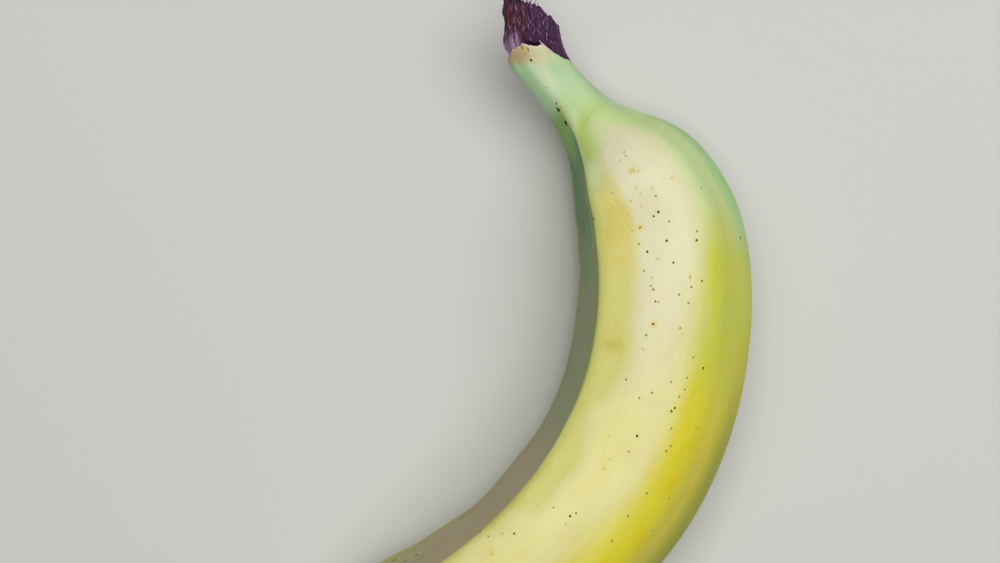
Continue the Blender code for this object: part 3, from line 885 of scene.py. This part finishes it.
def stub_material(settings):
    s = Shading("torn_fibres")
    here = s.attribute("fibre").outputs["Vector"]
    colour = s.attribute("ground").outputs["Vector"]
    threads = s.noise(s.stretched(here, (0.25, 2.4, 2.4)), 1.0, 5.0, 0.65, 0.4)
    blotches = s.noise(s.stretched(here, (0.5, 0.9, 0.9)), 1.0, 3.0)
    tint = s.times(s.step(threads, 0.3, 0.72, 0.55, 1.35), s.step(blotches, 0.3, 0.7, 0.8, 1.15))
    return s.finish(
        Base_Color=s.shaded(colour, tint),
        Roughness=s.step(threads, 0.3, 0.8, 0.75, 0.55),
        Specular_IOR_Level=WAX_SHEEN,
        Normal=s.bump(threads, 0.15 * MM, 0.7),
    )


def stub_core(settings):
    """The solid part of the torn end: out of the peel, past the tear and over its face."""
    angle = np.arange(0, 360, 1.25)
    end, foot = stub_end(angle), rim_line(angle) + 2.4 * MM
    rings = []
    for share in np.linspace(0, 1, 52):
        distance = foot + (end - foot) * share
        rings.append((distance, stub_radius(settings, angle, distance)))
    edge = rings[-1][1]
    for share in np.linspace(0.96, 0.04, 16):
        torn = end.mean() + (end - end.mean()) * share
        flat = straightened(angle, torn, edge * share)
        ragged = ripple(flat * (0, 1, 1), 14, 1.6, 31) * 0.5 + ripple(flat * (0, 1, 1), 10, 3.5, 32) * 0.6
        rings.append((torn - ragged * MM * (1 - share**6) * 0.8 - 0.5 * MM * (1 - share), edge * share))
    rows = np.array([LINE.skin_point(angle, distance, radius) for distance, radius in rings])
    mesh = tube_mesh("stub_core", rows, capped=True)
    set_capped_attribute(mesh, "fibre", [straightened(angle, *ring) for ring in rings])
    set_capped_attribute(mesh, "ground", [stub_colour(settings, angle, distance) for distance, _ in rings])
    return mesh


class StrandMaker:
    """Collects tapering strands, which then make one mesh."""

    SAMPLES = 9
    SIDES = 6

    def __init__(self, settings):
        self.settings = settings
        self.draw = np.random.default_rng(settings.seed)
        self.points, self.faces, self.colours, self.places = [], [], [], []

    def add(self, angle, distance, height, inward, width, flatness, colour):
        """One strand through places on the stub: height is over its surface, and inward scales its radius."""
        end = stub_end(angle)
        surface = stub_radius(self.settings, angle, np.maximum(distance, end)) * inward
        path = LINE.skin_point(angle, distance, surface + height)
        away = LINE.skin_point(angle, distance, surface + height + MM) - path
        away /= np.linalg.norm(away, axis=1)[:, None]
        ahead = np.gradient(path, axis=0)
        side = np.cross(ahead, away)
        side /= np.linalg.norm(side, axis=1)[:, None]
        turn = np.radians(np.arange(self.SIDES) * 360 / self.SIDES)[None, :, None]
        half = (width / 2)[:, None, None]
        around = np.cos(turn) * side[:, None] + flatness * np.sin(turn) * away[:, None]
        ring = path[:, None, :] + half * around
        first, samples, sides = len(self.points), len(path), self.SIDES
        self.points.extend(ring.reshape(-1, 3).tolist())
        for i in range(samples - 1):
            for j in range(sides):
                a, b = first + i * sides + j, first + i * sides + (j + 1) % sides
                self.faces.append((a, b, b + sides, a + sides))
        last = first + (samples - 1) * sides
        self.faces.append(tuple(range(first + sides - 1, first - 1, -1)))
        self.faces.append(tuple(range(last, last + sides)))
        run = np.concatenate([[0], np.cumsum(np.linalg.norm(np.diff(path, axis=0), axis=1))]) / MM
        offset = len(self.points) * 0.37
        self.places.extend([(r, offset % 53, offset % 47) for r in run for _ in range(sides)])
        self.colours.extend([colour] * (samples * sides))

    def along(self, start, length, wander):
        """Angles and distances of a strand that wanders as it runs out along the stub."""
        draw, share = self.draw, np.linspace(0, 1, self.SAMPLES)
        angle = draw.uniform(-1, 1) * wander * share
        angle = angle + 0.35 * wander * np.sin(share * draw.uniform(4, 9) + draw.uniform(0, 6))
        return share, angle, start - length * share

    def shade(self, colour, spread):
        return np.array(colour) * self.draw.uniform(1 - spread, 1 + spread)

    def mesh(self, name):
        mesh = bpy.data.meshes.new(name)
        mesh.from_pydata(self.points, [], self.faces)
        mesh.shade_smooth()
        set_attribute(mesh, "fibre", np.array(self.places))
        set_attribute(mesh, "ground", np.array(self.colours))
        return mesh


def lay_bundles(maker, settings):
    """Flat bundles of fibres that lie along the stub."""
    draw = maker.draw
    for _ in range(settings.bundles):
        at = draw.uniform(0, 360)
        end, rim = stub_end(at), rim_line(at)
        start = end + (rim - end) * draw.uniform(0.15, 0.9)
        length = min(draw.uniform(2, 5) * MM, start - end + draw.uniform(0, 0.4) * MM)
        share, wander, distance = maker.along(start, length, 3)
        height = (-0.1 + 0.16 * np.sin(np.pi * share) + draw.uniform(-0.05, 0.05)) * MM
        width = draw.uniform(0.3, 0.6) * MM * (1 - 0.6 * share**2)
        middle = start - length / 2
        if draw.random() > smooth_face(at) + stub_lip(at, middle):
            colour = maker.shade(stub_colour(settings, at, middle), 0.35)
            maker.add(at + wander, distance, height, 1.0, width, 0.4, colour)


def lay_hairs(maker, settings):
    """Fine pale fibres, three in four of them on top and inside the bend."""
    draw = maker.draw
    for k in range(settings.hairs):
        at = draw.uniform(40, 215) if k % 4 else draw.uniform(0, 360)
        end, rim = stub_end(at), rim_line(at)
        start = end + (rim - end) * draw.uniform(0.08, 0.9)
        length = min(draw.uniform(0.7, 2.0) * MM, start - end)
        share, wander, distance = maker.along(start, length, 3.5)
        height = (0.02 + 0.14 * np.sin(np.pi * share) + draw.uniform(0, 0.08)) * MM
        width = draw.uniform(0.06, 0.13) * MM * (1 - 0.7 * share**2)
        colour = settings.pale_hair if draw.random() < 0.2 else settings.hair
        if draw.random() > 0.5 * smooth_face(at) + 0.5 * stub_lip(at, start):
            maker.add(at + wander, distance, height, 1.0, width, 0.9, maker.shade(colour, 0.4))


def raise_spikes(maker, settings):
    """Torn fibres that stand past the stub's end, the longest of them near its long side."""
    draw = maker.draw
    mean_end = stub_end(np.arange(0, 360, 10.0)).mean()
    for _ in range(settings.spikes):
        at = draw.uniform(0, 360)
        long_side = bump(at, STUB_LONG_SIDE + 20, 70)
        inward = math.sqrt(draw.uniform(0.1, 1))
        end = stub_end(at) * inward + mean_end * (1 - inward)
        length = (1.5 + draw.uniform(0.2, 1.0) ** 1.2 * (0.4 + 7.6 * long_side)) * MM
        share, wander, distance = maker.along(end + 1.4 * MM, length, 7)
        lean = draw.uniform(-0.3, 1.6 if inward > 0.8 else 0.5)
        height = (-0.1 + 1.3 * lean * share**2 * (0.1 + long_side)) * MM
        width = draw.uniform(0.25, 0.6) * MM * (1 - 0.85 * share**1.3)
        colour = settings.dark if draw.random() < 0.45 else settings.purple
        maker.add(at + wander, distance, height, inward, width, 0.6, maker.shade(colour, 0.35))


def lay_torn_peel(maker, settings):
    """The sliver of peel on the stub's outer side, and the torn tongue over the rim."""
    share = np.linspace(0, 1, maker.SAMPLES)
    sliver_height = (0.12 + 0.1 * np.sin(np.pi * share)) * MM
    tongue_height = (0.3 + 0.25 * share) * MM
    for (first, last), start, length, height, width, taper, flatness, colour in (
        (SLIVER_SIDES, 5.6, 8.2, sliver_height, 0.5, 0.8, 0.5, settings.lip),
        (TONGUE_SIDES, 1.1, 3.1, tongue_height, 0.55, 0.85, 0.4, settings.tongue),
    ):
        angle, distance = first + (last - first) * share, (start - length * share) * MM
        width = width * MM * (1 - taper * share**2)
        maker.add(angle, distance, height, 1.0, width, flatness, np.array(colour))


def strand_mesh(settings):
    """The fibres and scraps of peel on the stub, and the spikes past its end."""
    maker = StrandMaker(settings)
    for lay in (lay_bundles, lay_hairs, raise_spikes, lay_torn_peel):
        lay(maker, settings)
    return maker.mesh("stub_strands")


class BANANA_OT_stub(bpy.types.Operator):
    """Build the torn fibrous stub that stands out of the peel's rim"""

    bl_idname = "banana.stub"
    bl_label = "Torn stub"

    def execute(self, context):
        settings = context.scene.banana_stub
        material = stub_material(settings)
        place_piece("stub_core", stub_core(settings), material)
        place_piece("stub_strands", strand_mesh(settings), material)
        return {"FINISHED"}


def blossom_material(settings):
    s = Shading("blossom_scar")
    here = s.attribute("fibre").outputs["Vector"]
    crest = s.attribute("crest").outputs["Fac"]
    threads = s.noise(s.stretched(here, (0.5, 1.8, 1.8)), 1.0, 5.0, 0.65)
    depth = s.math("ADD", s.times(crest, 0.3), threads)
    colour = s.mix(s.step(depth, 0.5, 0.95), settings.black, settings.brown)
    roughness = s.step(threads, 0.3, 0.7, 0.85, 0.6)
    return s.finish(Base_Color=colour, Roughness=roughness, Normal=s.bump(threads, 0.25 * MM, 0.9))


def blossom_mesh(settings):
    """The dry nub: lobed and cracked, and flared a little behind its face."""
    angle = np.arange(0, 360, 2.0)
    lobed = np.cos(settings.lobes * np.radians(angle) + 0.5 * np.sin(np.radians(angle * 2)))
    end_radius = skin_radius(angle, np.full_like(angle, LENGTH))
    side_rises, side_shares = np.transpose(NUB_SIDE)
    side = [(rise, np.interp(rise, side_rises, side_shares)) for rise in np.linspace(0.0, 0.98, 14)]
    rows, crests, places = [], [], []
    for rise, share in (*NUB_FOOT, *side, *NUB_FACE):
        distance = LENGTH + NUB_LENGTH * rise + 0 * angle
        radius = end_radius * share * (1 + 0.08 * lobed * max(rise, 0))
        here = straightened(angle, distance, radius)
        rough = 0.6 * ripple(here, 14, 2.2, 41) + 0.5 * ripple(here * (0.3, 1, 1), 14, 0.9, 42)
        radius = radius + 0.16 * MM * rough * share
        rows.append(LINE.skin_point(angle, distance + 0.1 * MM * rough, radius))
        crests.append(0.5 * lobed + rough * 0.5)
        places.append(here)
    mesh = tube_mesh("blossom_scar", np.array(rows), capped=True)
    set_capped_attribute(mesh, "fibre", places)
    set_capped_attribute(mesh, "crest", crests)
    return mesh


class BANANA_OT_blossom_end(bpy.types.Operator):
    """Build the dry scar where the blossom was"""

    bl_idname = "banana.blossom_end"
    bl_label = "Blossom end"

    def execute(self, context):
        settings = context.scene.banana_blossom
        place_piece("blossom_scar", blossom_mesh(settings), blossom_material(settings))
        return {"FINISHED"}


def add_light(name, place, size, power, colour):
    """A square light that looks at the middle of the fruit."""
    data = bpy.data.lights.new(name, "AREA")
    data.shape = "SQUARE"
    data.size = size
    data.energy = power
    data.color = colour
    light = add_object(name, data)
    light.location = place
    ahead = Vector((0, 0, MIDDLE_LEVEL)) - Vector(place)
    light.rotation_euler = ahead.to_track_quat("-Z", "Y").to_euler()
    light.visible_camera = False


class BANANA_OT_stage(bpy.types.Operator):
    """Build the plain floor, the soft lights and the camera"""

    bl_idname = "banana.stage"
    bl_label = "Stage"

    def execute(self, context):
        settings = context.scene.banana_stage
        half = settings.floor_size / 2
        mesh = bpy.data.meshes.new("floor")
        level = -0.1 * MM
        corners = [(-half, -half, level), (half, -half, level), (half, half, level), (-half, half, level)]
        mesh.from_pydata(corners, [], [(0, 1, 2, 3)])
        floor = add_object("floor", mesh)
        s = Shading("floor")
        mesh.materials.append(s.finish(Base_Color=tuple(settings.floor), Roughness=0.9))

        world = bpy.data.worlds.new("studio")
        world.use_nodes = True
        background = world.node_tree.nodes["Background"]
        background.inputs["Color"].default_value = SKY_COLOUR
        background.inputs["Strength"].default_value = settings.sky
        context.scene.world = world
        add_light("key_light", KEY_PLACE, KEY_WIDTH, settings.key_power, KEY_COLOUR)
        add_light("fill_light", FILL_PLACE, FILL_WIDTH, settings.fill_power, FILL_COLOUR)

        data = bpy.data.cameras.new("camera")
        data.sensor_width = SENSOR
        data.lens = CAMERA_RISE / PIXEL * SENSOR / PICTURE[0]
        data.clip_start = 0.01
        camera = add_object("camera", data)
        camera.location = (*CAMERA_OVER, CAMERA_RISE + MIDDLE_LEVEL)
        context.scene.camera = camera
        context.scene.view_settings.view_transform = "Standard"
        return {"FINISHED"}


class BANANA_PT_panel(bpy.types.Panel):
    """Lists the steps that build the banana"""

    bl_idname = "BANANA_PT_panel"
    bl_label = "Banana"
    bl_space_type = "VIEW_3D"
    bl_region_type = "UI"
    bl_category = "Banana"

    def draw(self, context):
        for operator in OPERATORS:
            self.layout.operator(operator.bl_idname)


SETTINGS = {
    "banana_peel": PeelSettings,
    "banana_stub": StubSettings,
    "banana_blossom": BlossomSettings,
    "banana_stage": StageSettings,
}
OPERATORS = (BANANA_OT_peel, BANANA_OT_stub, BANANA_OT_blossom_end, BANANA_OT_stage)


def register():
    for kind in (*SETTINGS.values(), *OPERATORS, BANANA_PT_panel):
        bpy.utils.register_class(kind)
    for name, kind in SETTINGS.items():
        setattr(bpy.types.Scene, name, bpy.props.PointerProperty(type=kind))


def unregister():
    for name in SETTINGS:
        delattr(bpy.types.Scene, name)
    for kind in reversed((*SETTINGS.values(), *OPERATORS, BANANA_PT_panel)):
        bpy.utils.unregister_class(kind)


def main():
    register()
    bpy.ops.banana.peel()
    bpy.ops.banana.stub()
    bpy.ops.banana.blossom_end()
    bpy.ops.banana.stage()


if __name__ == "__main__":
    main()
